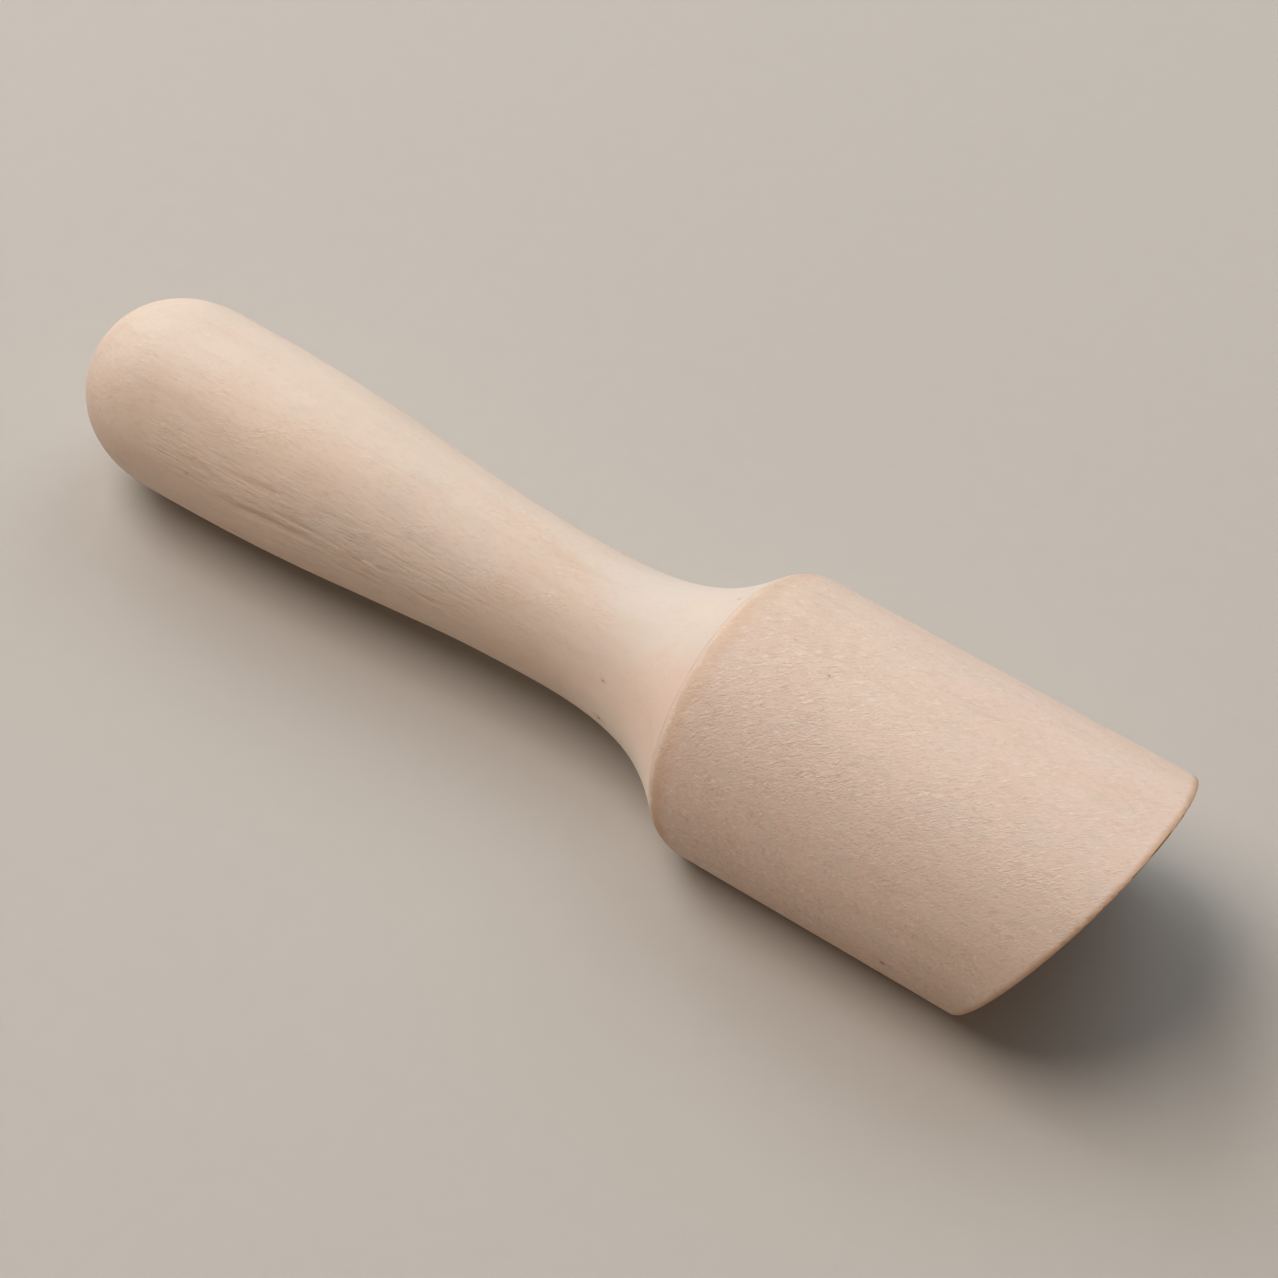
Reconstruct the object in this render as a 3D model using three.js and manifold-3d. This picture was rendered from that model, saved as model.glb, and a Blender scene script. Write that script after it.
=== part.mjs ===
// Small turned wooden scoop, lying with its mouth down on the sawn flat of its head.
//
// Millimetres, +Z up. +X runs along the turning axis from the handle's tip to the lip.
// The origin is under the middle of the scoop, on the plane that it lies on.
//
// Two pieces of wood: a handle turned with a flare and a tenon, and a bored head that
// the tenon is glued into.

import * as THREE from 'three';
import { mergeVertices } from 'three/addons/utils/BufferGeometryUtils.js';
import Module from 'manifold-3d';

// Handle, measured from its tip to the shoulder where the head begins.
const HANDLE_LENGTH = 82;
const BULB_RADIUS = 10.3;
const BULB_CAP = 12;              // from the tip to the fullest part of the bulb
const BULB_FULLNESS = 2.2;        // 2 is an ellipse, more is a blunter tip
const BULB_HOLD = 0.49;           // share of the grip that keeps close to the bulb's thickness
const NECK_HOLD = 0.36;           // share of the grip that keeps close to the neck's thickness
const NECK_RADIUS = 7.65;
const NECK_TO_SHOULDER = 19.5;
const NECK_RUNOUT = 10.5;         // length over which the flare leaves the neck's thickness
const FLARE_RIM_DROP = 1.2;       // how far the flare's rim lies inside the head's radius
const FLARE_RIM_RUN = 6.5;        // length over which the flare straightens towards its rim
const FLARE_ANGLE = 44;           // steepness of the flare at its rim, degrees from the axis

// Head, measured from the shoulder to the lip's furthest point.
const HEAD_LENGTH = 48;
const HEAD_RADIUS = 15.3;
const SHOULDER_ROUND = 1.9;       // axial length of the rounded edge at the start of the barrel
const WALL = 2.7;
const HOLLOW_ROUND = 4;           // fillet at the bottom of the hollow
const LIP_RAKE = 30;              // the lip's cut leans this far from square, degrees
const LIP_CORNER = 6;             // rounded corner between the lip's cut and the sawn flat

// Glued joint.
const TENON_RADIUS = 6;
const TENON_LENGTH = 7;
const TENON_CHAMFER = 0.8;
const SOCKET_WEB = 2.7;           // wood left between the socket and the hollow
const CLEARANCE = 0.3;

// Smoothness of the turned surfaces.
const TURN_SEGMENTS = 56;
const CAP_STEPS = 9;
const GRIP_STEPS = 12;
const FLARE_STEPS = 9;
const ROUND_STEPS = 4;
const CORNER_STEPS = 8;

// The scoop lies on the bulb's lowest line and on the head's flat, so the flat is sawn
// as far below the turning axis as the bulb is thick.
const AXIS_HEIGHT = BULB_RADIUS;
const SHOULDER_X = (HANDLE_LENGTH - HEAD_LENGTH) / 2;
const SOCKET_RADIUS = TENON_RADIUS + CLEARANCE;
const SOCKET_DEPTH = TENON_LENGTH + CLEARANCE;
const FLOOR = SOCKET_DEPTH + SOCKET_WEB;
const HOLLOW_RADIUS = HEAD_RADIUS - WALL;
const FLARE_RIM_RADIUS = HEAD_RADIUS - FLARE_RIM_DROP;
const BEYOND = HEAD_RADIUS;       // how far cutting tools reach past the wood

const wasm = await Module();
wasm.setup();

const beech = new THREE.MeshStandardMaterial({
  name: 'handle_wood',
  color: new THREE.Color().setRGB(0.76, 0.62, 0.5),
  roughness: 0.72,
  metalness: 0,
});

const beechHead = new THREE.MeshStandardMaterial({
  name: 'head_wood',
  color: new THREE.Color().setRGB(0.72, 0.55, 0.44),
  roughness: 0.78,
  metalness: 0,
});

// Profile points are Vector2(radius, distance along the axis from the shoulder).
function curvePoints(curve, steps) {
  return curve.getPoints(steps).slice(1);
}

// The tip is a quarter of a superellipse: an ellipse that can be made blunter.
function bulbCap() {
  const points = [];
  for (let i = 0; i <= CAP_STEPS; i += 1) {
    const angle = (Math.PI / 2) * (i / CAP_STEPS);
    const power = 2 / BULB_FULLNESS;
    points.push(new THREE.Vector2(
      BULB_RADIUS * Math.sin(angle) ** power,
      -HANDLE_LENGTH + BULB_CAP * (1 - Math.cos(angle) ** power),
    ));
  }
  points[0].x = 0;
  return points;
}

// From the fullest part of the bulb, the grip thins slowly to the neck.
function grip() {
  const start = -HANDLE_LENGTH + BULB_CAP;
  const end = -NECK_TO_SHOULDER;
  const span = end - start;
  return new THREE.CubicBezierCurve(
    new THREE.Vector2(BULB_RADIUS, start),
    new THREE.Vector2(BULB_RADIUS, start + BULB_HOLD * span),
    new THREE.Vector2(NECK_RADIUS, end - NECK_HOLD * span),
    new THREE.Vector2(NECK_RADIUS, end),
  );
}

// From the neck, a hollow curve opens out to the rim at the shoulder.
function flare() {
  const angle = THREE.MathUtils.degToRad(FLARE_ANGLE);
  return new THREE.CubicBezierCurve(
    new THREE.Vector2(NECK_RADIUS, -NECK_TO_SHOULDER),
    new THREE.Vector2(NECK_RADIUS, NECK_RUNOUT - NECK_TO_SHOULDER),
    new THREE.Vector2(
      FLARE_RIM_RADIUS - FLARE_RIM_RUN * Math.sin(angle),
      -FLARE_RIM_RUN * Math.cos(angle),
    ),
    new THREE.Vector2(FLARE_RIM_RADIUS, 0),
  );
}

function handleProfile() {
  return [
    ...bulbCap(),
    ...curvePoints(grip(), GRIP_STEPS),
    ...curvePoints(flare(), FLARE_STEPS),
    new THREE.Vector2(TENON_RADIUS, 0),
    new THREE.Vector2(TENON_RADIUS, TENON_LENGTH - TENON_CHAMFER),
    new THREE.Vector2(TENON_RADIUS - TENON_CHAMFER, TENON_LENGTH),
    new THREE.Vector2(0, TENON_LENGTH),
  ];
}

// The rounded edge carries the flare's slope over into the barrel.
function shoulderEdge() {
  const angle = THREE.MathUtils.degToRad(FLARE_ANGLE);
  const control = CLEARANCE + FLARE_RIM_DROP / Math.tan(angle);
  return new THREE.QuadraticBezierCurve(
    new THREE.Vector2(FLARE_RIM_RADIUS, CLEARANCE),
    new THREE.Vector2(HEAD_RADIUS, control),
    new THREE.Vector2(HEAD_RADIUS, control + SHOULDER_ROUND),
  );
}

function hollowFillet() {
  return new THREE.EllipseCurve(
    HOLLOW_RADIUS - HOLLOW_ROUND, FLOOR + HOLLOW_ROUND,
    HOLLOW_ROUND, HOLLOW_ROUND,
    0, -Math.PI / 2, true,
  );
}

function headProfile() {
  const past = HEAD_LENGTH + BEYOND;
  return [
    new THREE.Vector2(0, SOCKET_DEPTH),
    new THREE.Vector2(SOCKET_RADIUS, SOCKET_DEPTH),
    new THREE.Vector2(SOCKET_RADIUS, CLEARANCE),
    ...shoulderEdge().getPoints(ROUND_STEPS),
    new THREE.Vector2(HEAD_RADIUS, past),
    new THREE.Vector2(HOLLOW_RADIUS, past),
    ...hollowFillet().getPoints(CORNER_STEPS),
    new THREE.Vector2(0, FLOOR),
  ];
}

// Turns a profile about the scoop's axis and puts it at the shoulder.
function turn(profile) {
  const geometry = new THREE.LatheGeometry(profile, TURN_SEGMENTS);
  geometry.rotateZ(-Math.PI / 2);
  geometry.translate(SHOULDER_X, 0, AXIS_HEIGHT);
  return geometry;
}

// Where the lip's cut crosses a height above the ground plane.
function lipX(height) {
  const rake = Math.tan(THREE.MathUtils.degToRad(LIP_RAKE));
  return SHOULDER_X + HEAD_LENGTH - rake * (AXIS_HEIGHT + HEAD_RADIUS - height);
}

// Side view of everything that is kept: above the sawn flat and behind the lip's cut.
function keptOutline() {
  const left = SHOULDER_X - HANDLE_LENGTH - BEYOND;
  const top = AXIS_HEIGHT + HEAD_RADIUS + BEYOND;
  const rake = THREE.MathUtils.degToRad(LIP_RAKE);
  const setback = LIP_CORNER * Math.tan((Math.PI / 2 - rake) / 2);
  const outline = new THREE.Shape();
  outline.moveTo(left, 0);
  outline.lineTo(lipX(0) - setback, 0);
  outline.absarc(lipX(0) - setback, LIP_CORNER, LIP_CORNER, -Math.PI / 2, -rake, false);
  outline.lineTo(lipX(top), top);
  outline.lineTo(left, top);
  return outline;
}

function keptBlock() {
  const width = 2 * (HEAD_RADIUS + BEYOND);
  const block = new THREE.ExtrudeGeometry(keptOutline(), {
    depth: width,
    bevelEnabled: false,
    curveSegments: CORNER_STEPS,
  });
  block.rotateX(Math.PI / 2);
  block.translate(0, width / 2, 0);
  return block;
}

function toSolid(geometry) {
  const bare = geometry.clone();
  bare.deleteAttribute('normal');
  bare.deleteAttribute('uv');
  const merged = mergeVertices(bare, 1e-4);
  return new wasm.Manifold(new wasm.Mesh({
    numProp: 3,
    vertProperties: new Float32Array(merged.attributes.position.array),
    triVerts: new Uint32Array(merged.index.array),
  }));
}

function toGeometry(solid) {
  const mesh = solid.getMesh();
  const geometry = new THREE.BufferGeometry();
  geometry.setAttribute('position', new THREE.BufferAttribute(mesh.vertProperties, 3));
  geometry.setIndex(new THREE.BufferAttribute(mesh.triVerts, 1));
  geometry.computeVertexNormals();
  return geometry;
}

function piece(name, profile, material) {
  const solid = toSolid(turn(profile)).intersect(toSolid(keptBlock()));
  const mesh = new THREE.Mesh(toGeometry(solid), material);
  mesh.name = name;
  return mesh;
}

const group = new THREE.Group();
group.add(piece('handle', handleProfile(), beech));
group.add(piece('head', headProfile(), beechHead));

export default group;
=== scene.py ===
"""Small turned wooden scoop, lying mouth down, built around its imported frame.

The scoop is two pieces of pale hardwood. The handle is a turned shape that runs out into
a flare and a hidden tenon. The head is a barrel, bored hollow, whose far end is cut at a
rake and whose underside is sawn flat. Lengths are in millimetres. Places are (along,
across, height) from the point on the turning axis at the shoulder, where the pieces meet.
"""

import math

import bmesh
import bpy
import numpy as np
from mathutils import Matrix, Vector, noise


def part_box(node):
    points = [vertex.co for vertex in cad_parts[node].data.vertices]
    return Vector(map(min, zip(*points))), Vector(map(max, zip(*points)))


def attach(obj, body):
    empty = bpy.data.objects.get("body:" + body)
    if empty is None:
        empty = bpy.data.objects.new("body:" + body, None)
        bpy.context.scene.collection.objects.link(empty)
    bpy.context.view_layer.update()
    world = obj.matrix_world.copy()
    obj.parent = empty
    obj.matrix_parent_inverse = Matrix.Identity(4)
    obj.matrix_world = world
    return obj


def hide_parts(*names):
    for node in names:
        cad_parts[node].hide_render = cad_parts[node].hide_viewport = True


bl_info = {
    "name": "Turned wooden scoop",
    "version": (1, 0, 0),
    "blender": (4, 5, 0),
    "location": "3D View > Sidebar > Scoop",
    "description": "Builds a small wooden scoop and a plain studio to see it in",
    "category": "Add Mesh",
}

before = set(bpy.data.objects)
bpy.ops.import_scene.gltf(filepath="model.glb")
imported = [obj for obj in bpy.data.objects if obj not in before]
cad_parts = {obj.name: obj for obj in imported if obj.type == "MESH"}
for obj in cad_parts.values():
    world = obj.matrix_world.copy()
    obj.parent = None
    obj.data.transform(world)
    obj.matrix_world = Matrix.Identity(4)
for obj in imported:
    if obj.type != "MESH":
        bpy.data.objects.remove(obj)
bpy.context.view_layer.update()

MM = 0.001
TINY = 1e-6
HANDLE_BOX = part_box("handle")
HEAD_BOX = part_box("head")

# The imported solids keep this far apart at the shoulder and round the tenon.
JOINT_CLEARANCE = 0.3

# The frame gives the outer sizes, in millimetres.
HEAD_RADIUS = (HEAD_BOX[1].y - HEAD_BOX[0].y) / 2 / MM
AXIS_HEIGHT = HEAD_BOX[1].z / MM - HEAD_RADIUS
SHOULDER_X = HEAD_BOX[0].x / MM - JOINT_CLEARANCE
HANDLE_LENGTH = SHOULDER_X - HANDLE_BOX[0].x / MM
HEAD_LENGTH = HEAD_BOX[1].x / MM - SHOULDER_X
TENON_LENGTH = HANDLE_BOX[1].x / MM - SHOULDER_X

# Pin knots: the (along, across, height) of each, and its radius.
HANDLE_KNOTS = (
    ((-10.5, -8.3, -1.0), 0.26),
    ((-10.4, -7.4, 4.0), 0.13),
    ((-1.3, 2.9, 12.6), 0.13),
    ((-62.4, -9.9, 2.7), 0.13),
)
HEAD_KNOTS = (
    ((28.0, -15.1, -2.5), 0.34),
    ((12.4, -1.5, 15.2), 0.13),
)

# Shallow grooves of torn grain low on the handle's side: the (along, height) of both
# ends, the half width, and the depth as a share of the deepest one's.
HANDLE_GROOVES = (
    ((-60.0, 1.9), (-43.0, 2.5), 0.85, 1.0),
    ((-58.0, 4.9), (-47.6, 5.6), 0.62, 0.45),
    ((-66.0, 4.2), (-57.0, 3.9), 0.60, 0.3),
    ((-53.0, 3.7), (-42.0, 3.2), 0.42, 0.4),
    ((-45.6, 0.9), (-36.6, 0.5), 0.40, 0.4),
    ((-43.0, 2.9), (-35.4, 2.4), 0.36, 0.4),
    ((-36.5, 1.9), (-28.5, 1.3), 0.36, 0.3),
)

# The (along, across, height) of a splinter of wood torn up among the grooves. Its pale colour is a
# painted highlight, where the raised splinter catches the light.
SPLINTER = (-39.2, -8.35, 2.6)

# The raised fibres lean this far from the turning axis.
HANDLE_CURL = math.radians(-24.0)
HEAD_CURL = math.radians(-37.0)

# The growth rings run round the tree's heart, which lies outside the scoop.
HEART_ACROSS = 26.0
HEART_HEIGHT = -40.0
RING_PITCH = 4.833
RING_BEND = 9.0

# The studio's soft lamps: heading and height in degrees, strength and tint.
LAMPS = {
    "high_lamp": (196.0, 66.0, 2.1, (1.0, 0.885, 0.80)),
    "low_lamp": (155.0, 42.0, 1.6, (0.88, 0.93, 0.95)),
    "far_lamp": (88.0, 46.0, 0.93, (0.80, 0.93, 1.0)),
}
SKY_TINT = (1.0, 0.82, 0.66, 1.0)

# A Mix node's sockets, when it mixes colours.
MIX_FACTOR, MIX_A, MIX_B, MIX_RESULT = 0, 6, 7, 2


# ---------------------------------------------------------------- sizes and colours

def length(name, text, value, low=0.0, high=200.0):
    """A length in millimetres that a user can change."""
    return bpy.props.FloatProperty(name=name, description=text, default=value, min=low, max=high)


def colour(name, text, value):
    """A colour that a user can change."""
    return bpy.props.FloatVectorProperty(
        name=name, description=text, default=value, subtype="COLOR", size=3, min=0.0, max=1.0)


def number(name, text, value, low, high):
    """A plain number that a user can change."""
    return bpy.props.FloatProperty(name=name, description=text, default=value, min=low, max=high)


def share(name, text, value):
    """A share or a strength that a user can change, where 0 is none."""
    return bpy.props.FloatProperty(
        name=name, description=text, default=value, min=0.0, max=4.0, subtype="FACTOR")


class ScoopShape(bpy.types.PropertyGroup):
    """Sizes of the turned handle and the bored head. Lengths are in millimetres."""

    bulb_radius: length("Bulb radius", "Radius of the handle's fullest part", AXIS_HEIGHT)
    bulb_cap: length("Bulb cap", "From the tip to the fullest part of the bulb", 12.0)
    bulb_fullness: number("Bulb fullness", "2 is an ellipse, more is a blunter tip", 2.2, 1.5, 4.0)
    bulb_hold: share("Bulb hold", "Share of the grip that keeps the bulb's thickness", 0.49)
    neck_hold: share("Neck hold", "Share of the grip that keeps the neck's thickness", 0.36)
    neck_radius: length("Neck radius", "Radius of the thinnest part", 7.65)
    neck_to_shoulder: length("Neck to shoulder", "Length of the flare", 19.5)
    neck_runout: length("Neck run-out", "Length over which the flare leaves the neck", 10.5)
    rim_drop: length("Rim drop", "How far the flare's rim lies inside the barrel", 1.2)
    rim_run: length("Rim run", "Length over which the flare straightens to its rim", 6.5)
    flare_angle: bpy.props.FloatProperty(
        name="Flare angle", description="Steepness of the flare at its rim",
        default=math.radians(44.0), subtype="ANGLE")
    tenon_radius: length("Tenon radius", "Radius of the glued tenon", 6.0)
    tenon_chamfer: length("Tenon chamfer", "Chamfer at the tenon's end", 0.8)
    shoulder_round: length("Shoulder round", "Length of the rounded edge of the barrel", 1.9)
    wall: length("Wall", "Thickness of the barrel's wall", 2.7)
    floor: length("Floor", "Solid wood behind the hollow", 10.0)
    hollow_round: length("Hollow round", "Fillet at the bottom of the hollow", 4.0)
    lip_rake: bpy.props.FloatProperty(
        name="Lip rake", description="How far the lip's cut leans from square",
        default=math.radians(30.0), subtype="ANGLE")
    lip_corner: length("Lip corner", "Corner between the lip's cut and the sawn flat", 6.0)
    sanded_edge: length("Sanded edge", "Radius of the eased edges of rim and lip", 0.28)
    joint_gap: length("Joint gap", "Width of the glue line", 0.03)
    hand_wave: length("Hand wave", "Depth of the unevenness left by sanding by hand", 0.05)


class ScoopFinish(bpy.types.PropertyGroup):
    """Colours and surface of the bare wood, and the colours that paint light and shade on it."""

    # Cream is also painted light: on the upper sides of grip and barrel, and on the flare's far and
    # low sides.
    cream: colour("Cream", "Palest wood, smooth from the lathe", (0.665, 0.59, 0.53))
    sand: colour("Sand", "Yellowish wood of the grip", (0.725, 0.575, 0.462))
    rose: colour("Rose", "Pinkish wood of the head", (0.725, 0.545, 0.46))
    clay: colour("Clay", "Warm darker wood between the pale patches", (0.64, 0.46, 0.34))
    # Besides real fibres and pores, this colour paints shade in the gaps between raised fibres and
    # on the barrel's lower half.
    fibre_and_shade: colour("Fibre", "Darker fibres and pores", (0.42, 0.26, 0.16))
    knot: colour("Knot", "Pin knots", (0.24, 0.10, 0.035))
    # Brown of the knots' halos and of the band past the shoulder, and painted shade on the lip's
    # eased edge.
    brown_and_shade: colour("Burnish", "Edges browned by sanding", (0.50, 0.30, 0.17))
    ash: colour("Ash", "Greyish wood between the pink patches", (0.63, 0.545, 0.46))
    # A pale colour for painted light: highlights on the tips of raised fibres and on the splinter,
    # and the paler upper sides and flare.
    painted_light: colour("Sliver", "Pale tips of raised and torn fibres", (0.93, 0.81, 0.69))
    ring_contrast: share("Ring contrast", "Strength of the growth rings", 0.22)
    fibre_contrast: share("Fibre contrast", "Strength of the long fibres", 0.17)
    blotches: share("Blotches", "Strength of the pale and warm patches", 0.55)
    roughness: share("Roughness", "Roughness of the bare wood", 0.58)
    relief: length("Relief", "Height of the raised grain", 0.055, 0.0, 1.0)


class ScoopStudio(bpy.types.PropertyGroup):
    """Camera, lights and floor."""

    depression: bpy.props.FloatProperty(
        name="Depression", description="How steeply the camera looks down",
        default=math.radians(50.96), subtype="ANGLE")
    heading: bpy.props.FloatProperty(
        name="Heading", description="How far the camera stands round towards the lip",
        default=math.radians(40.26), subtype="ANGLE")
    roll: bpy.props.FloatProperty(
        name="Roll", description="Tilt of the camera about its own line of sight",
        default=math.radians(3.98), subtype="ANGLE")
    lens: bpy.props.FloatProperty(
        name="Lens", description="Focal length for a 36 mm wide sensor", default=109.86)
    distance: bpy.props.FloatProperty(
        name="Distance", description="From the camera to what it looks at",
        default=0.3804, unit="LENGTH")
    aim: bpy.props.FloatVectorProperty(
        name="Aim", description="The point that the camera looks at",
        default=(0.0066, -0.00154, 0.0148), subtype="XYZ", unit="LENGTH")
    floor_colour: colour("Floor", "Colour of the plain floor", (0.50, 0.472, 0.44))
    horizon: colour("Horizon", "Glow of the floor's far edges", (0.28, 0.235, 0.19))
    brightness: share("Brightness", "Strength of the three soft lamps", 0.97)
    sky: share("Sky", "Brightness of the light from all round", 0.09)


# ---------------------------------------------------------------- shape

def shape():
    """The scoop's sizes, as the panel shows them."""
    return bpy.context.scene.scoop_shape


def bezier(points, count):
    """Points along the Bezier curve that has the given control points."""
    t = np.linspace(0.0, 1.0, count)[:, None]
    curve = [np.array(point, float) * np.ones_like(t) for point in points]
    while len(curve) > 1:
        curve = [a * (1.0 - t) + b * t for a, b in zip(curve[:-1], curve[1:])]
    return curve[0]


def bulb_cap(steps=48):
    """(along, radius) from the tip to the bulb's fullest part: a superellipse's quarter."""
    size = shape()
    angle = np.linspace(0.0, math.pi / 2, steps)
    power = 2.0 / size.bulb_fullness
    along = -HANDLE_LENGTH + size.bulb_cap * (1.0 - np.cos(angle) ** power)
    return np.column_stack([along, size.bulb_radius * np.sin(angle) ** power])


def grip(steps=130):
    """(along, radius) from the bulb to the neck."""
    size = shape()
    start = -HANDLE_LENGTH + size.bulb_cap
    end = -size.neck_to_shoulder
    span = end - start
    return bezier([
        (start, size.bulb_radius),
        (start + size.bulb_hold * span, size.bulb_radius),
        (end - size.neck_hold * span, size.neck_radius),
        (end, size.neck_radius),
    ], steps)


def flare(steps=80):
    """(along, radius) from the neck to the rim at the shoulder."""
    size = shape()
    rim = HEAD_RADIUS - size.rim_drop
    run, rise = size.rim_run * math.cos(size.flare_angle), size.rim_run * math.sin(size.flare_angle)
    return bezier([
        (-size.neck_to_shoulder, size.neck_radius),
        (size.neck_runout - size.neck_to_shoulder, size.neck_radius),
        (-run, rim - rise),
        (0.0, rim),
    ], steps)


def shoulder_edge(steps=40):
    """(along, radius) of the rounded edge from the flare's rim to the barrel."""
    size = shape()
    control = size.rim_drop / math.tan(size.flare_angle)
    return bezier([
        (0.0, HEAD_RADIUS - size.rim_drop),
        (control, HEAD_RADIUS),
        (control + size.shoulder_round, HEAD_RADIUS),
    ], steps)


def uneven(points):
    """How far each point stands out or in from the turned surface, from sanding by hand."""
    coarse = Vector((0.054, 0.09, 0.09))
    fine = Vector((0.14, 0.28, 0.28))
    fine_shift = Vector((9.0, 0.0, 0.0))
    fine_share = 0.3
    heights = [
        noise.noise(Vector(point) * coarse)
        + fine_share * noise.noise(Vector(point) * fine + fine_shift)
        for point in points
    ]
    return shape().hand_wave * np.array(heights)


def to_row(points):
    """From millimetres at the shoulder to metres in the part's own frame."""
    return (points + np.array([SHOULDER_X, 0.0, AXIS_HEIGHT])) * MM


def new_object(name, data):
    """Adds an object for a mesh, lamp or camera to the scene."""
    piece = bpy.data.objects.new(name, data)
    bpy.context.scene.collection.objects.link(piece)
    return piece


def cut_flat(mesh, point, normal, tolerance=1e-8):
    """Cuts away what lies beyond a plane and closes the cut. Sizes here are in metres."""
    bm = bmesh.new()
    bm.from_mesh(mesh)
    parts = bm.verts[:] + bm.edges[:] + bm.faces[:]
    cut = bmesh.ops.bisect_plane(
        bm, geom=parts, dist=tolerance, plane_co=point, plane_no=normal, clear_outer=True)
    edges = [e for e in cut["geom_cut"] if isinstance(e, bmesh.types.BMEdge)]
    bmesh.ops.triangle_fill(bm, use_beauty=True, edges=edges, normal=Vector(normal))
    bmesh.ops.recalc_face_normals(bm, faces=bm.faces[:])
    bm.to_mesh(mesh)
    bm.free()


def smooth(mesh, angle):
    """Shades a mesh smooth, but for its edges that are sharper than an angle."""
    mesh.shade_smooth()
    mesh.set_sharp_from_angle(angle=angle)


# ---------------------------------------------------------------- handle

def handle_profile():
    """(along, radius) of half the handle's section, from the tip to the tenon's end."""
    size = shape()
    middle_of_face = size.tenon_radius + 3.0
    tenon = np.array([
        (0.0, middle_of_face),
        (0.0, size.tenon_radius),
        (TENON_LENGTH - size.tenon_chamfer, size.tenon_radius),
        (TENON_LENGTH, size.tenon_radius - size.tenon_chamfer),
        (TENON_LENGTH, 0.0),
    ])
    return np.vstack([bulb_cap(), grip()[1:], flare()[1:], tenon])


def turned_mesh(name, profile, sides):
    """Turns an (along, radius) profile, which starts and ends on the axis, about X."""
    rings = profile[1:-1]
    turn = np.linspace(0.0, 2.0 * math.pi, sides, endpoint=False)
    along = np.repeat(rings[:, 0], sides)
    radius = np.repeat(rings[:, 1], sides)
    turns = np.tile(turn, len(rings))
    body = np.column_stack([along, radius * np.sin(turns), radius * np.cos(turns)])
    points = np.vstack([body, [[profile[0, 0], 0.0, 0.0]], [[profile[-1, 0], 0.0, 0.0]]])
    start, end = len(body), len(body) + 1
    last = (len(rings) - 1) * sides
    faces = []
    for side in range(sides):
        across = (side + 1) % sides
        faces.append((start, across, side))
        faces.append((end, last + side, last + across))
        for ring in range(len(rings) - 1):
            here = ring * sides
            faces.append((here + side, here + across, here + sides + across, here + sides + side))
    mesh = bpy.data.meshes.new(name)
    mesh.from_pydata(points.tolist(), [], faces)
    return mesh, points


def from_shoulder(along, length_of_fade=2.0):
    """0 at the shoulder, where the pieces must meet, rising to 1 a little way from it."""
    return np.clip(along / length_of_fade, 0.0, 1.0)


def build_handle(sides=224):
    """Turns the handle, roughens it as sanding does, and flattens its lowest line."""
    mesh, points = turned_mesh("turned_handle", handle_profile(), sides)
    radius = np.hypot(points[:, 1], points[:, 2])
    outward = np.column_stack([np.zeros(len(points)), points[:, 1], points[:, 2]])
    outward /= np.maximum(radius, TINY)[:, None]
    wave = uneven(points) * from_shoulder(-points[:, 0]) * (radius > TINY)
    points = points + outward * wave[:, None]
    mesh.vertices.foreach_set("co", to_row(points).ravel())
    mesh.update()
    cut_flat(mesh, (0.0, 0.0, 0.0), (0.0, 0.0, -1.0))
    smooth(mesh, math.radians(35.0))
    return new_object("turned_handle", mesh)


# ---------------------------------------------------------------- head

def round_max(a, b, radius):
    """The larger of two distances, with the edge where they meet eased to a radius."""
    meeting = np.hypot(np.maximum(a + radius, 0.0), np.maximum(b + radius, 0.0))
    return np.minimum(np.maximum(a, b), -radius) + meeting


def barrel_distance(along, radius):
    """Distance outside the barrel, whose rounded edge carries on behind the shoulder."""
    edge = shoulder_edge()
    behind = 3.0
    slope = math.tan(shape().flare_angle)
    edge = np.vstack([[edge[0, 0] - behind, edge[0, 1] - behind * slope], edge])
    lean = np.gradient(edge[:, 1], edge[:, 0])
    outline = np.interp(along, edge[:, 0], edge[:, 1])
    steep = np.interp(along, edge[:, 0], lean, right=0.0)
    return (radius - outline) / np.sqrt(1.0 + steep ** 2)


def hollow_distance(along, radius):
    """Distance outside the hollow, a bore with a filleted bottom."""
    size = shape()
    fillet = size.hollow_round
    out = radius - (HEAD_RADIUS - size.wall - fillet)
    down = size.floor + fillet - along
    corner = np.hypot(np.maximum(out, 0.0), np.maximum(down, 0.0))
    return corner + np.minimum(np.maximum(out, down), 0.0) - fillet


def outside_cuts(along, height):
    """Distance outside the raked lip and the sawn flat, with the corner between them."""
    size = shape()
    rake, corner = size.lip_rake, size.lip_corner
    lip_at = HEAD_LENGTH - math.tan(rake) * (HEAD_RADIUS - height)
    lip = (along - lip_at) * math.cos(rake) + corner
    flat = -AXIS_HEIGHT - height + corner
    lean = math.sin(rake)
    a = (lip - lean * flat) / (1.0 - lean ** 2)
    b = (flat - lean * lip) / (1.0 - lean ** 2)
    at_corner = np.sqrt(np.maximum(a * a + b * b + 2.0 * a * b * lean, 0.0))
    return np.where((a > 0.0) & (b > 0.0), at_corner, np.maximum(lip, flat)) - corner


def head_distance(points, wave):
    """Distance outside the head's wood, and less than 0 inside it, in millimetres.

    The wood runs on a little behind the shoulder, and is cut there afterwards.
    """
    size = shape()
    spare = 0.8
    along, height = points[:, 0], points[:, 2]
    radius = np.hypot(points[:, 1], height)
    barrel = np.maximum(barrel_distance(along, radius) - wave, -spare - along)
    socket_radius = size.tenon_radius + JOINT_CLEARANCE
    socket = np.maximum(radius - socket_radius, along - TENON_LENGTH - JOINT_CLEARANCE)
    wood = round_max(barrel, -hollow_distance(along, radius), size.sanded_edge)
    wood = round_max(wood, outside_cuts(along, height), size.sanded_edge)
    return np.maximum(wood, -socket)


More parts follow.
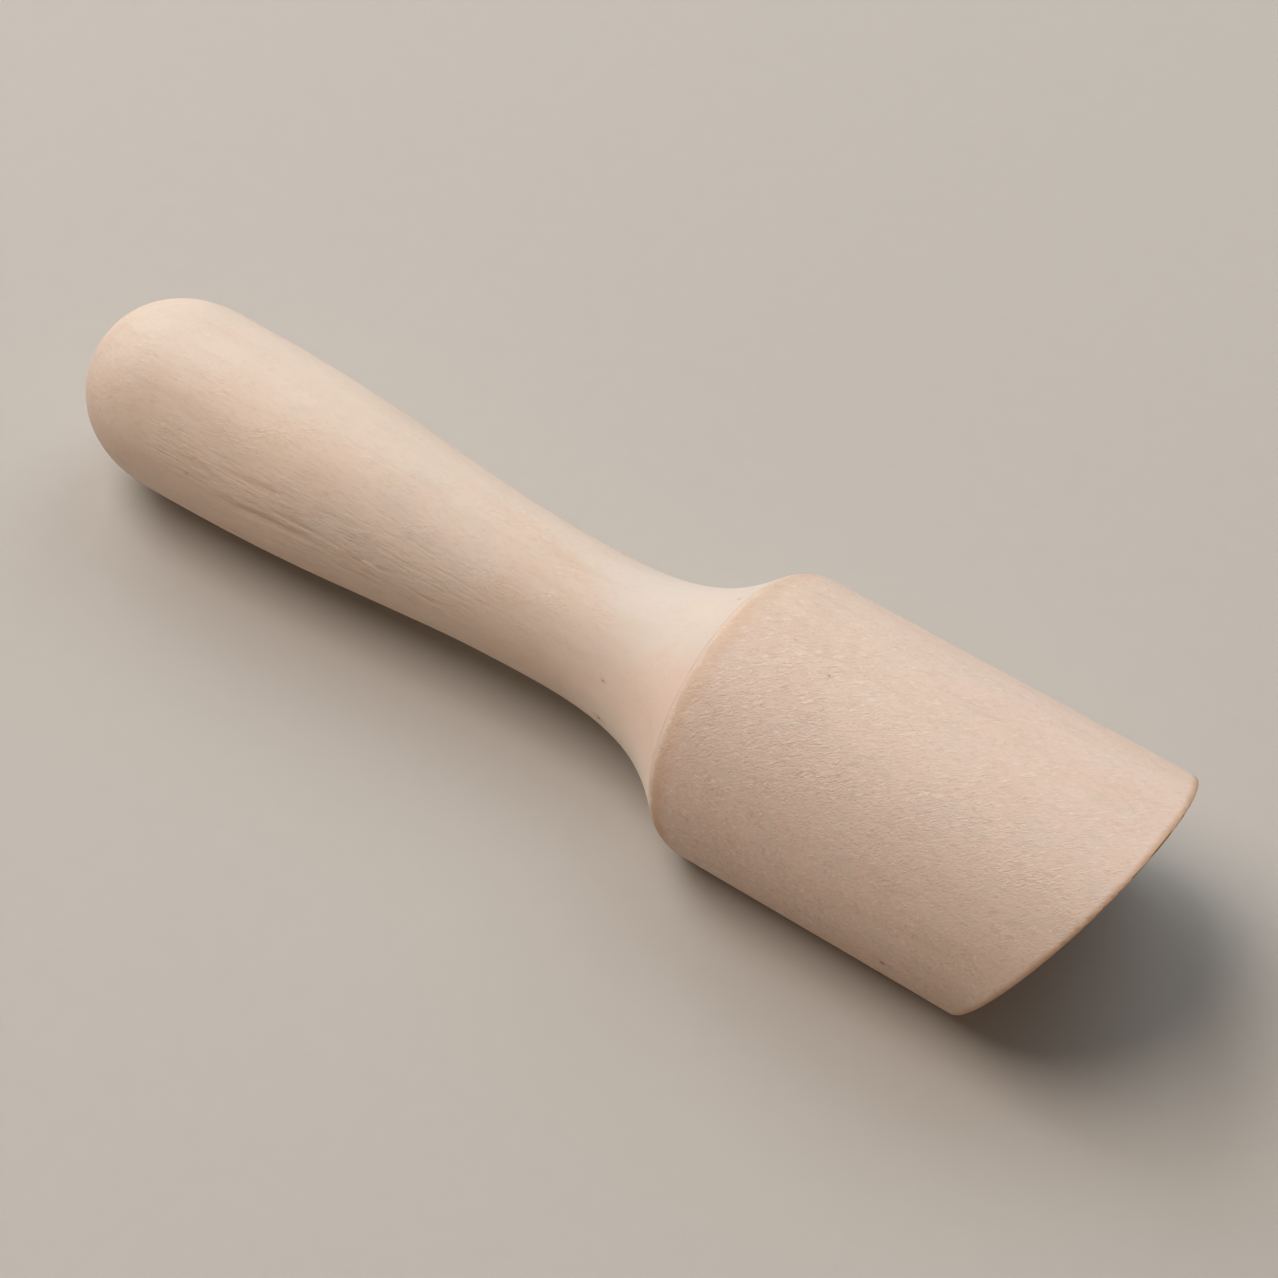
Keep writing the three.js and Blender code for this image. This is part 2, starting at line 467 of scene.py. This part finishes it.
def settle(points, wave, rounds):
    """Moves points onto the head's surface, along the slope of their distance from it."""
    step = 0.004
    furthest = 0.5
    least_steep = 0.2
    for _ in range(rounds):
        slope = np.empty_like(points)
        for axis in range(3):
            nudge = np.zeros(3)
            nudge[axis] = step
            ahead = head_distance(points + nudge, wave)
            slope[:, axis] = (ahead - head_distance(points - nudge, wave)) / (2.0 * step)
        steep = np.maximum((slope ** 2).sum(1), least_steep)
        off = np.clip(head_distance(points, wave), -furthest, furthest)
        points = points - slope * (off / steep)[:, None]
    return points


def relax(points, edges):
    """Moves each point half way to the middle of its neighbours."""
    count = np.bincount(edges.ravel(), minlength=len(points))
    total = np.empty_like(points)
    for axis in range(3):
        value = points[:, axis]
        total[:, axis] = (
            np.bincount(edges[:, 0], value[edges[:, 1]], len(points))
            + np.bincount(edges[:, 1], value[edges[:, 0]], len(points)))
    return 0.5 * points + 0.5 * total / count[:, None]


def even_mesh(node, cell):
    """A mesh of even cells over a node's solid, with the cells' width in millimetres."""
    rough = new_object("rough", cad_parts[node].data.copy())
    remesh = rough.modifiers.new("remesh", "REMESH")
    remesh.mode = "VOXEL"
    remesh.voxel_size = cell * MM
    bpy.context.view_layer.update()
    result = rough.evaluated_get(bpy.context.evaluated_depsgraph_get())
    mesh = bpy.data.meshes.new_from_object(result)
    bpy.data.objects.remove(rough)
    return mesh


def build_head(cell=0.28, passes=6):
    """Settles an even mesh onto the head's surface and cuts it at the shoulder."""
    mesh = even_mesh("head", cell)
    points = np.empty(len(mesh.vertices) * 3)
    mesh.vertices.foreach_get("co", points)
    points = points.reshape(-1, 3) / MM - np.array([SHOULDER_X, 0.0, AXIS_HEIGHT])
    edges = np.empty(len(mesh.edges) * 2, int)
    mesh.edges.foreach_get("vertices", edges)
    edges = edges.reshape(-1, 2)
    wave = uneven(points) * from_shoulder(points[:, 0])
    points = settle(points, wave, rounds=8)
    for _ in range(passes):
        points = settle(relax(points, edges), wave, rounds=3)
    mesh.vertices.foreach_set("co", to_row(points).ravel())
    mesh.materials.clear()
    mesh.update()
    joint = (SHOULDER_X + shape().joint_gap) * MM
    cut_flat(mesh, (joint, 0.0, 0.0), (-1.0, 0.0, 0.0))
    smooth(mesh, math.radians(40.0))
    return new_object("bored_head", mesh)


# ---------------------------------------------------------------- materials

class Value:
    """A socket of a material's nodes. Arithmetic on it adds Math nodes."""

    def __init__(self, wood, socket):
        self.wood = wood
        self.socket = socket

    def math(self, operation, *values):
        """Adds a Math node for an operation on some values."""
        inputs = dict(enumerate(values))
        return self.wood.add("ShaderNodeMath", {"operation": operation}, inputs)

    def __add__(self, other):
        return self.math("ADD", self, other)

    __radd__ = __add__

    def __sub__(self, other):
        return self.math("SUBTRACT", self, other)

    def __rsub__(self, other):
        return self.math("SUBTRACT", other, self)

    def __mul__(self, other):
        return self.math("MULTIPLY", self, other)

    __rmul__ = __mul__

    def __truediv__(self, other):
        return self.math("DIVIDE", self, other)

    def __pow__(self, other):
        return self.math("POWER", self, other)

    def sine(self):
        return self.math("SINE", self)

    def root(self):
        return self.math("SQRT", self)

    def magnitude(self):
        return self.math("ABSOLUTE", self)

    def rise(self, low, high):
        """0 at low and 1 at high, with a smooth way between. High may be less than low."""
        climbs = low < high
        return self.wood.add(
            "ShaderNodeMapRange", {"interpolation_type": "SMOOTHSTEP"},
            {"Value": self, "From Min": min(low, high), "From Max": max(low, high),
             "To Min": 0.0 if climbs else 1.0, "To Max": 1.0 if climbs else 0.0})


class Wood:
    """One material's node tree, with places in millimetres from the shoulder."""

    def __init__(self, name):
        self.material = bpy.data.materials.new(name)
        self.material.use_nodes = True
        self.tree = self.material.node_tree
        self.tree.nodes.clear()
        row = self.add("ShaderNodeTexCoord", {}, {}, "Object")
        self.place = self.add(
            "ShaderNodeVectorMath", {"operation": "MULTIPLY_ADD"},
            {0: row, 1: (1 / MM, 1 / MM, 1 / MM), 2: (-SHOULDER_X, 0.0, -AXIS_HEIGHT)})
        parts = self.node("ShaderNodeSeparateXYZ", {}, {0: self.place})
        self.along = Value(self, parts.outputs[0])
        self.across = Value(self, parts.outputs[1])
        self.height = Value(self, parts.outputs[2])

    def node(self, kind, settings, inputs):
        """Adds a node: its settings first, then the values or links of its sockets."""
        node = self.tree.nodes.new(kind)
        for key, value in settings.items():
            setattr(node, key, value)
        for key, value in inputs.items():
            if isinstance(value, Value):
                self.tree.links.new(value.socket, node.inputs[key])
            else:
                node.inputs[key].default_value = value
        return node

    def add(self, kind, settings, inputs, output=0):
        """Adds a node and gives the value of one of its outputs."""
        return Value(self, self.node(kind, settings, inputs).outputs[output])

    def stretched(self, scale, shift=(0.0, 0.0, 0.0), place=None):
        """A place, scaled unevenly: small numbers make long, broad shapes."""
        return self.add(
            "ShaderNodeVectorMath", {"operation": "MULTIPLY_ADD"},
            {0: place or self.place, 1: scale, 2: shift})

    def noise(self, scale, detail=2.0, rough=0.5, shift=(0.0, 0.0, 0.0)):
        """Cloudy noise, stretched along the grain."""
        return self.noise_at(self.stretched(scale, shift), detail, rough)

    def noise_at(self, place, detail=2.0, rough=0.5, warp=0.0):
        """Cloudy noise at a place that is already scaled."""
        return self.add(
            "ShaderNodeTexNoise", {},
            {"Vector": place, "Scale": 1.0, "Detail": detail, "Roughness": rough,
             "Distortion": warp})

    def cells(self, scale, shift=(0.0, 0.0, 0.0)):
        """Distance to the nearest of many scattered points."""
        return self.add(
            "ShaderNodeTexVoronoi", {"feature": "F1"},
            {"Vector": self.stretched(scale, shift), "Scale": 1.0}, "Distance")

    def mix(self, factor, a, b):
        """Mixes colour b into colour a."""
        inputs = {MIX_FACTOR: factor}
        for socket, colour_in in ((MIX_A, a), (MIX_B, b)):
            inputs[socket] = colour_in if isinstance(colour_in, Value) else (*colour_in, 1.0)
        return self.add("ShaderNodeMix", {"data_type": "RGBA"}, inputs, MIX_RESULT)

    def turned(self, angle, scale, shift=(0.0, 0.0, 0.0)):
        """The place, turned about the upright axis and then scaled unevenly."""
        turned = self.add(
            "ShaderNodeVectorRotate", {"rotation_type": "Z_AXIS"},
            {"Vector": self.place, "Angle": angle})
        return self.stretched(scale, shift, turned)

    def spot(self, centre, stretch, size, soft=0.35):
        """1 at a small spot, fading to 0 at its edge."""
        offset = self.add(
            "ShaderNodeVectorMath", {"operation": "SUBTRACT"}, {0: self.place, 1: centre})
        scaled = self.add(
            "ShaderNodeVectorMath", {"operation": "MULTIPLY"}, {0: offset, 1: stretch})
        reach = self.add("ShaderNodeVectorMath", {"operation": "LENGTH"}, {0: scaled}, "Value")
        return reach.rise(size, soft * size)

    def groove(self, start, end, half_width, wander):
        """1 along a line between two (along, height) places, fading to 0 beside it.

        The line wanders with a noise, and fades in and out over most of its length.
        """
        span = end[0] - start[0]
        fade = 0.45 * span
        slope = (end[1] - start[1]) / span
        sway = (wander - 0.5) * 1.8
        off = self.height - (self.along - start[0]) * slope - start[1] + sway
        ends = (
            self.along.rise(start[0], start[0] + fade)
            * self.along.rise(end[0], end[0] - fade))
        return off.magnitude().rise(half_width, 0.0) * ends

    def finish(self, base, rough, height, relief, **more):
        """Ends the material with its shader, and a relief in millimetres for the height."""
        bump = self.add(
            "ShaderNodeBump", {},
            {"Height": height, "Strength": 1.0, "Distance": relief * MM}, "Normal")
        shader = self.add(
            "ShaderNodeBsdfPrincipled", {},
            {"Base Color": base, "Roughness": rough, "Normal": bump,
             "Specular IOR Level": 0.32, "Sheen Weight": 0.06, "Sheen Roughness": 0.6, **more})
        self.node("ShaderNodeOutputMaterial", {}, {"Surface": shader})
        return self.material


def figure(wood, finish, body, pale):
    """Colour, roughness and height that both pieces share, as if cut from one log."""
    broad = wood.noise((0.03, 0.07, 0.07), 2.0, 0.5, (0.0, 3.0, 6.0))
    patches = wood.noise((0.15, 0.24, 0.24), 2.0, 0.55, (7.0, 3.0, 1.0))
    mottle = wood.noise((0.6, 0.85, 0.85), 3.0, 0.6, (4.0, 9.0, 2.0))
    bend = wood.noise((0.022, 0.05, 0.05), 2.0, 0.5, (2.0, 8.0, 5.0))
    heart = (wood.across - HEART_ACROSS) ** 2.0 + (wood.height - HEART_HEIGHT) ** 2.0
    turns = (heart.root() + bend * RING_BEND) * (2.0 * math.pi / RING_PITCH)
    rings = turns.sine() * 0.5 + 0.5
    fibres = wood.noise((0.9, 3.0, 3.0), 3.0, 0.65, (0.0, 4.0, 2.0))
    grey = wood.noise((0.22, 0.33, 0.33), 2.0, 0.5, (9.0, 6.0, 4.0))
    streaks = wood.noise((0.07, 0.9, 0.9), 2.0, 0.5, (1.0, 2.0, 9.0))
    pores = wood.cells((1.2, 3.4, 3.4), (3.0, 1.0, 2.0)).rise(0.24, 0.08)
    base = wood.mix(broad.rise(0.38, 0.64) * finish.blotches, body, pale)
    base = wood.mix(patches.rise(0.44, 0.70) * finish.blotches * 0.55, base, finish.clay)
    base = wood.mix(mottle.rise(0.42, 0.66) * finish.blotches * 0.6, base, finish.rose)
    base = wood.mix(mottle.rise(0.50, 0.30) * finish.blotches * 0.35, base, finish.sand)
    base = wood.mix(grey.rise(0.50, 0.68) * finish.blotches * 0.55, base, finish.ash)
    base = wood.mix(rings ** 4.0 * finish.ring_contrast, base, finish.clay)
    base = wood.mix(streaks.rise(0.52, 0.76) * finish.fibre_contrast * 0.6, base, finish.fibre_and_shade)
    base = wood.mix(fibres.rise(0.48, 0.76) * finish.fibre_contrast, base, finish.fibre_and_shade)
    base = wood.mix(fibres.rise(0.46, 0.26) * finish.fibre_contrast * 1.6, base, finish.cream)
    base = wood.mix(pores * 0.10, base, finish.fibre_and_shade)
    rough = fibres * 0.16 + finish.roughness - patches * 0.08
    height = fibres * 0.42 + mottle * 0.30 - pores * 0.20
    return base, rough, height


def raised_fibres(wood, angle, shift):
    """Short curly ripples that stand proud, and where the grain was brushed up most."""
    curls = wood.noise_at(wood.turned(angle, (1.15, 3.3, 2.9), shift), 3.0, 0.65, 1.1)
    where = wood.noise((0.2, 0.3, 0.3), 2.0, 0.5, shift).rise(0.40, 0.66)
    return curls, where


def fleck(wood, finish, base, curls, strength):
    """Painted highlights on the tips of the raised fibres, and painted shade in the gaps between
    them.
    """
    base = wood.mix(curls.rise(0.54, 0.70) * strength * 0.32, base, finish.painted_light)
    return wood.mix(curls.rise(0.47, 0.30) * strength * 0.28, base, finish.fibre_and_shade)


def pin_knots(wood, finish, base, knots):
    """Pin knots: small dark specks with a faint brown halo, long along the grain."""
    for centre, size in knots:
        halo = wood.spot(centre, (0.55, 1.0, 1.0), 3.0 * size)
        base = wood.mix(halo * 0.28, base, finish.brown_and_shade)
        base = wood.mix(wood.spot(centre, (0.8, 1.0, 1.0), size) * 0.8, base, finish.knot)
    return base


def flare_tones(wood, finish, base):
    """The flare is smooth: cream on its far and low sides, which is painted light, and pink between
    them.
    """
    drift = wood.noise((0.14, 0.18, 0.18), 3.0, 0.55, (3.0, 5.0, 8.0))
    flare_start = wood.along + wood.height * 0.3 + drift * 9.0
    smooth_flare = flare_start.rise(-13.0, -5.0)
    far_side = (wood.across + drift * 8.0).rise(-4.5, 1.5)
    pink_reach = wood.height.rise(-4.0, 3.0) * (1.0 - far_side)
    base = wood.mix(smooth_flare * pink_reach * 0.55, base, finish.rose)
    # Painted light: cream lightens the flare's low side and its far side.
    base = wood.mix(smooth_flare * wood.height.rise(4.0, -4.0) * 0.9, base, finish.cream)
    base = wood.mix(smooth_flare * far_side * 0.68, base, finish.cream)
    figure_line = wood.noise((0.05, 0.7, 0.7), 3.0, 0.6, (6.0, 1.0, 4.0)).rise(0.48, 0.70)
    return smooth_flare, wood.mix(smooth_flare * figure_line * 0.16, base, finish.clay)


def torn_grain(wood):
    """1 where the grain is torn, low on the grip's near side."""
    low_side = wood.height.rise(9.0, 3.0) * wood.across.rise(-2.0, -6.0)
    reach = low_side * wood.along.rise(-74.0, -62.0) * wood.along.rise(-18.0, -34.0)
    streaks = wood.noise((0.16, 1.9, 1.9), 3.0, 0.55, (1.0, 6.0, 2.0)).rise(0.47, 0.66)
    pits = wood.noise((0.8, 2.6, 2.6), 2.0, 0.5, (6.0, 2.0, 3.0)).rise(0.50, 0.66)
    return (streaks * 0.6 + pits * 0.4) * reach


def cut_grooves(wood, finish, base, height):
    """Sinks the handle's grooves into its colour and its height."""
    wander = wood.noise((0.17, 0.12, 0.12), 2.0, 0.4, (2.0, 2.0, 7.0))
    near_side = wood.across.rise(-3.0, -6.0)
    for start, end, half_width, depth in HANDLE_GROOVES:
        groove = wood.groove(start, end, half_width, wander) * near_side
        base = wood.mix(groove * 0.20 * depth, base, finish.fibre_and_shade)
        height = height - groove * 3.4 * depth
    return base, height


def handle_wood():
    """Sandy grip that turns to smooth cream at the flare, with torn grain low on one side. Painted
    light pales its upper side and the flare, and painted shade darkens the grip's low side.
    """
    finish = bpy.context.scene.scoop_finish
    wood = Wood("handle_wood")
    base, rough, height = figure(wood, finish, finish.sand, finish.cream)
    smooth_flare, base = flare_tones(wood, finish, base)
    calm = 1.0 - smooth_flare * 0.6
    curls, where = raised_fibres(wood, HANDLE_CURL, (5.0, 1.0, 3.0))
    torn = torn_grain(wood)
    base = wood.mix(torn * 0.13, base, finish.fibre_and_shade)
    height = height * calm + curls * where * calm * 1.1 - torn * 1.1
    base, height = cut_grooves(wood, finish, base, height)
    base = fleck(wood, finish, base, curls, where * calm * 0.8)
    # Painted highlight: the splinter is painted pale where it catches the light.
    splinter = wood.spot(SPLINTER, (0.42, 2.1, 2.1), 0.66)
    base = wood.mix(splinter * 0.9, base, finish.painted_light)
    # Painted light: the grip's upper side is painted paler.
    lit_top = (wood.height + wood.across * 0.5).rise(7.5, 10.5) * wood.along.rise(-22.0, -34.0)
    base = wood.mix(lit_top * 0.30, base, finish.cream)
    base = wood.mix(lit_top * 0.10, base, finish.painted_light)
    # Painted shade darkens the grip's low side with clay, and painted light pales the flare's low
    # side.
    low_side = wood.height.rise(6.0, 0.0)
    base = wood.mix(low_side * 0.40 * calm, base, finish.clay)
    base = wood.mix(low_side * 0.40 * smooth_flare, base, finish.painted_light)
    base = pin_knots(wood, finish, base, HANDLE_KNOTS)
    return wood.finish(base, rough + torn * 0.08, height + splinter * 1.6, finish.relief)


def edge_bands(wood, finish, base, waver):
    """Brown bands at the barrel's edges. At the shoulder a brown band, stronger lower down, lies
    past a painted highlight on the rounded edge; at the lip the brown is painted shade on the eased
    edge.
    """
    rake = shape().lip_rake
    seam = wood.along + (waver - 0.5) * 1.6
    # Painted highlight: a paler strip on the shoulder's rounded edge.
    base = wood.mix(wood.along.rise(0.9, 0.1) * 0.5, base, finish.sand)
    # A brown band just past the shoulder, stronger lower down.
    arris = seam.rise(0.2, 1.1) * seam.rise(3.4, 1.5) * (0.74 - wood.height * 0.03)
    base = wood.mix(arris, base, finish.brown_and_shade)
    # Painted shade: a brown line on the lip's eased edge.
    lip_at = wood.height * math.tan(rake) + (HEAD_LENGTH - math.tan(rake) * HEAD_RADIUS)
    lip = ((wood.along - lip_at) * math.cos(rake) + waver * 0.5).rise(-0.6, 0.15)
    return wood.mix(lip * 0.85, base, finish.brown_and_shade)


def head_wood():
    """Pinkish barrel with raised fibres, brown edge bands, painted light on its upper side, painted
    shade low down, and tool marks in its bore.
    """
    finish = bpy.context.scene.scoop_finish
    wood = Wood("head_wood")
    base, rough, height = figure(wood, finish, finish.rose, finish.sand)
    curls, where = raised_fibres(wood, HEAD_CURL, (2.0, 7.0, 5.0))
    near_shoulder = wood.along.rise(34.0, 4.0)
    proud = where * 0.4 + near_shoulder * 0.35 + 0.8
    # More painted highlights and shade on the raised fibres towards the low side.
    low_side = wood.height.rise(9.0, -6.0)
    base = fleck(wood, finish, base, curls, proud + low_side * 0.9)
    # Painted light: the barrel's upper side is painted paler.
    lit_top = wood.height.rise(4.0, 12.0)
    base = wood.mix(lit_top * 0.12, base, finish.cream)
    base = wood.mix(lit_top * 0.06, base, finish.painted_light)
    # Painted shade: the barrel's lower half is painted darker.
    base = wood.mix(wood.height.rise(4.0, -4.0) * 0.26, base, finish.fibre_and_shade)
    waver = wood.noise((0.5, 0.5, 0.5), 2.0, 0.5, (8.0, 2.0, 1.0))
    base = edge_bands(wood, finish, base, waver)
    base = pin_knots(wood, finish, base, HEAD_KNOTS)
    radius = (wood.across ** 2.0 + wood.height ** 2.0).root()
    bore = HEAD_RADIUS - shape().wall
    inside = radius.rise(bore + 0.5, bore + 0.1)
    tool_marks = ((wood.along + radius * 0.8) * 4.2 + waver * 3.0).sine()
    base = wood.mix(inside * 0.22, base, finish.clay)
    height = height + curls * proud * (1.5 - inside * 0.7) + tool_marks * inside * 0.5
    return wood.finish(base, rough + inside * 0.1, height, finish.relief)


def floor_paint(glow_from=800.0, glow_to=2600.0, grit=0.02):
    """Matt paint with a faint speckle, and a glow towards the floor's far edges."""
    studio = bpy.context.scene.scoop_studio
    paint = Wood("floor_paint")
    speckle = paint.noise((0.4, 0.4, 0.4), 3.0, 0.5)
    darker = tuple(0.97 * part for part in studio.floor_colour)
    base = paint.mix(speckle, studio.floor_colour, darker)
    reach = (paint.along ** 2.0 + paint.across ** 2.0).root()
    glow = paint.mix(reach.rise(glow_from, glow_to), (0.0, 0.0, 0.0), studio.horizon)
    more = {"Emission Color": glow, "Emission Strength": 1.0}
    return paint.finish(base, speckle * 0.1 + 0.75, speckle, grit, **more)


# ---------------------------------------------------------------- operators

def dress(piece, material, node):
    """Gives a piece its material, hangs it under the root body, and hides the part that it stands
    in for.
    """
    piece.data.materials.clear()
    piece.data.materials.append(material)
    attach(piece, "root")
    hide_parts(node)


class SCOOP_OT_handle(bpy.types.Operator):
    """Turn the handle, from the bulb to the tenon"""

    bl_idname = "scoop.handle"
    bl_label = "Turn the handle"

    def execute(self, context):
        dress(build_handle(), handle_wood(), "handle")
        return {"FINISHED"}


class SCOOP_OT_head(bpy.types.Operator):
    """Bore the head and cut its lip and flat"""

    bl_idname = "scoop.head"
    bl_label = "Bore the head"

    def execute(self, context):
        dress(build_head(), head_wood(), "head")
        return {"FINISHED"}


def soft_lamp(name, heading, height, irradiance, tint, spread=0.75, distance=1.3):
    """A round lamp that looks at the scoop from a heading and a height, in degrees."""
    turn, tilt = math.radians(heading), math.radians(height)
    toward = Vector((
        math.cos(tilt) * math.cos(turn), math.cos(tilt) * math.sin(turn), math.sin(tilt)))
    light = bpy.data.lights.new(name, "AREA")
    light.shape = "DISK"
    light.size = spread * distance
    light.energy = irradiance * math.pi * distance ** 2
    light.color = tint
    lamp = new_object(name, light)
    lamp.location = toward * distance
    lamp.rotation_euler = toward.to_track_quat("Z", "Y").to_euler()


def light_sky(strength):
    """A dim, even light from all round."""
    world = bpy.data.worlds.new("studio")
    world.use_nodes = True
    sky = world.node_tree.nodes["Background"]
    sky.inputs["Color"].default_value = SKY_TINT
    sky.inputs["Strength"].default_value = strength
    bpy.context.scene.world = world


def place_camera(studio):
    """The camera stands back from its aim along its line of sight, then rolls about it."""
    down, heading = studio.depression, studio.heading
    ahead = Vector((
        -math.cos(down) * math.sin(heading),
        math.cos(down) * math.cos(heading),
        -math.sin(down),
    ))
    right = ahead.cross(Vector((0.0, 0.0, 1.0))).normalized()
    up = right.cross(ahead)
    turned_right = right * math.cos(studio.roll) - up * math.sin(studio.roll)
    turned_up = turned_right.cross(ahead)
    turn = Matrix((turned_right, turned_up, -ahead)).transposed()
    data = bpy.data.cameras.new("camera")
    data.lens = studio.lens
    data.sensor_width = 36.0
    data.clip_start = 0.01
    camera = new_object("camera", data)
    camera.matrix_world = (
        Matrix.Translation(Vector(studio.aim) - ahead * studio.distance) @ turn.to_4x4())
    bpy.context.scene.camera = camera


def lay_floor(reach=4.0, flat=1.6, cells=80, lift=0.25):
    """A wide plain floor that curves up at its far edges."""
    bm = bmesh.new()
    bmesh.ops.create_grid(bm, x_segments=cells, y_segments=cells, size=reach)
    for vert in bm.verts:
        vert.co.z = lift * max(0.0, vert.co.length - flat) ** 2
    mesh = bpy.data.meshes.new("floor")
    bm.to_mesh(mesh)
    bm.free()
    mesh.shade_smooth()
    floor = new_object("floor", mesh)
    floor.data.materials.append(floor_paint())


class SCOOP_OT_studio(bpy.types.Operator):
    """Set up the floor, the lights and the camera"""

    bl_idname = "scoop.studio"
    bl_label = "Set up the studio"

    def execute(self, context):
        studio = context.scene.scoop_studio
        place_camera(studio)
        lay_floor()
        for name, (heading, height, strength, tint) in LAMPS.items():
            soft_lamp(name, heading, height, strength * studio.brightness, tint)
        light_sky(studio.sky)
        context.scene.view_settings.view_transform = "Standard"
        return {"FINISHED"}


class SCOOP_PT_panel(bpy.types.Panel):
    """Lists the scoop's sizes, finishes and steps"""

    bl_idname = "SCOOP_PT_panel"
    bl_label = "Turned scoop"
    bl_space_type = "VIEW_3D"
    bl_region_type = "UI"
    bl_category = "Scoop"

    def draw(self, context):
        scene = context.scene
        for label, group in (
            ("Shape", scene.scoop_shape),
            ("Finish", scene.scoop_finish),
            ("Studio", scene.scoop_studio),
        ):
            box = self.layout.box()
            box.label(text=label)
            for name in group.__annotations__:
                box.prop(group, name)
        for step in STEPS:
            self.layout.operator(step.bl_idname)


GROUPS = {
    "scoop_shape": ScoopShape,
    "scoop_finish": ScoopFinish,
    "scoop_studio": ScoopStudio,
}
STEPS = (SCOOP_OT_studio, SCOOP_OT_handle, SCOOP_OT_head)
CLASSES = (*GROUPS.values(), *STEPS, SCOOP_PT_panel)


def register():
    for cls in CLASSES:
        bpy.utils.register_class(cls)
    for name, group in GROUPS.items():
        setattr(bpy.types.Scene, name, bpy.props.PointerProperty(type=group))


def unregister():
    for name in GROUPS:
        delattr(bpy.types.Scene, name)
    for cls in reversed(CLASSES):
        bpy.utils.unregister_class(cls)


def main():
    register()
    bpy.ops.scoop.studio()
    bpy.ops.scoop.handle()
    bpy.ops.scoop.head()


if __name__ == "__main__":
    main()
